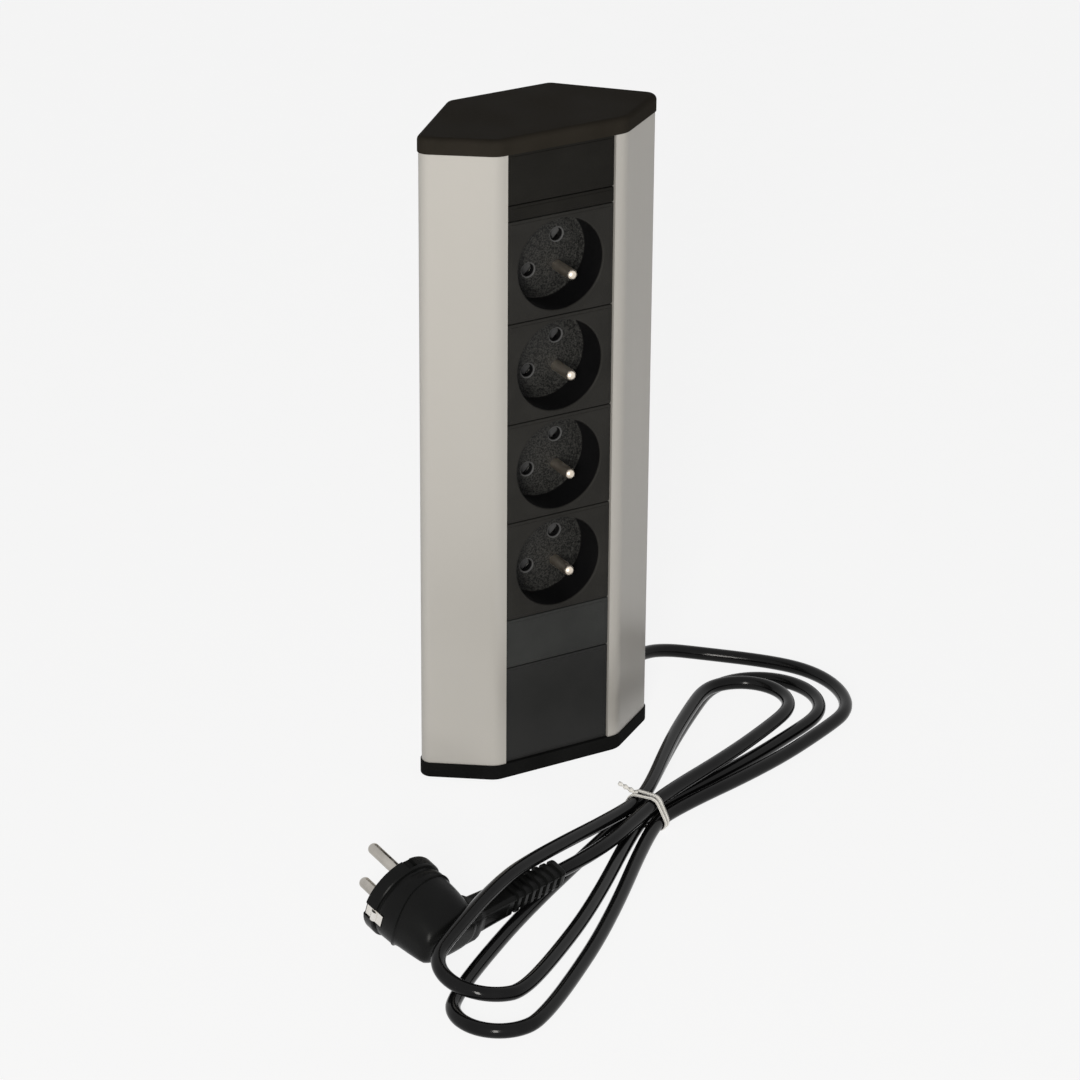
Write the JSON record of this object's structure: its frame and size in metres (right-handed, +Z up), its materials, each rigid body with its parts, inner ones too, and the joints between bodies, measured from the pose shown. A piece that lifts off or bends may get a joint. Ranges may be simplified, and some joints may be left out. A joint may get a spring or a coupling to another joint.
{
  "type": "corner power strip",
  "caption": "Upright corner power strip in a satin metal housing with shuttered earthed sockets, dark end caps, and a tied black cord with an angled plug.",
  "frame": {"origin": "on the floor below the middle of the housing's outline", "axes": "+Z up along the housing, -Y the side the sockets face, +X to the right seen from the front"},
  "size_m": [0.2907, 0.25, 0.291],
  "materials": {
    "housing_aluminium": "satin anodised",
    "cap_black": "fine texture",
    "strip_charcoal": "fine texture",
    "shutter_grey": "smooth",
    "pin_nickel": "polished nickel plate",
    "bar_brass": "bare",
    "steel": "zinc plated",
    "carrier_white": "smooth",
    "cord_black": "glossy",
    "tie_white": "paper covered",
    "plug_black": "satin",
    "bridge_black": "smooth",
    "core_brown": "smooth",
    "core_blue": "smooth",
    "core_green_yellow": "smooth"
  },
  "bodies": {
    "housing": {"body_profile": "housing_aluminium", "bottom_cap": "cap_black", "bottom_cap_screws": "steel", "carrier_screws": "steel", "contact_carrier": "carrier_white", "cord_clamp": "carrier_white", "cord_clamp_screws": "steel", "cord_grommet": "cap_black", "cord_hank": "cord_black", "cord_lead": "cord_black", "cord_sheath_end": "cord_black", "cord_tie": "tie_white", "earth_bond_screw": "steel", "earth_busbar": "bar_brass", "earth_pin_1": "pin_nickel", "earth_pin_2": "pin_nickel", "earth_pin_3": "pin_nickel", "earth_pin_4": "pin_nickel", "earth_wire": "core_green_yellow", "live_busbar": "bar_brass", "live_wire": "core_brown", "lower_blank": "strip_charcoal", "neutral_busbar": "bar_brass", "neutral_wire": "core_blue", "plug_body": "plug_black", "plug_bridge": "bridge_black", "plug_earth_clips": "pin_nickel", "plug_live_pin": "pin_nickel", "plug_neutral_pin": "pin_nickel", "shutter_spring_1": "steel", "shutter_spring_2": "steel", "shutter_spring_3": "steel", "shutter_spring_4": "steel", "socket_insert_1": "strip_charcoal", "socket_insert_2": "strip_charcoal", "socket_insert_3": "strip_charcoal", "socket_insert_4": "strip_charcoal", "spacer_strip": "strip_charcoal", "terminal_cover": "strip_charcoal", "top_blank": "strip_charcoal", "top_cap": "cap_black"},
    "shutter_1_body": {"shutter_1": "shutter_grey"},
    "shutter_2_body": {"shutter_2": "shutter_grey"},
    "shutter_3_body": {"shutter_3": "shutter_grey"},
    "shutter_4_body": {"shutter_4": "shutter_grey"}
  },
  "joints": [
    {"name": "shutter_1_turn", "type": "hinge", "parent": "housing", "child": "shutter_1_body", "pos_m": [0, -0.006, 0.232], "axis": [0, -1, 0], "range_deg": [0, 42], "stiffness_Nm_per_rad": 0.004, "springref_deg": -20.05},
    {"name": "shutter_2_turn", "type": "hinge", "parent": "housing", "child": "shutter_2_body", "pos_m": [0, -0.006, 0.187], "axis": [0, -1, 0], "range_deg": [0, 42], "stiffness_Nm_per_rad": 0.004, "springref_deg": -20.05},
    {"name": "shutter_3_turn", "type": "hinge", "parent": "housing", "child": "shutter_3_body", "pos_m": [0, -0.006, 0.142], "axis": [0, -1, 0], "range_deg": [0, 42], "stiffness_Nm_per_rad": 0.004, "springref_deg": -20.05},
    {"name": "shutter_4_turn", "type": "hinge", "parent": "housing", "child": "shutter_4_body", "pos_m": [0, -0.006, 0.097], "axis": [0, -1, 0], "range_deg": [0, 42], "stiffness_Nm_per_rad": 0.004, "springref_deg": -20.05}
  ]
}
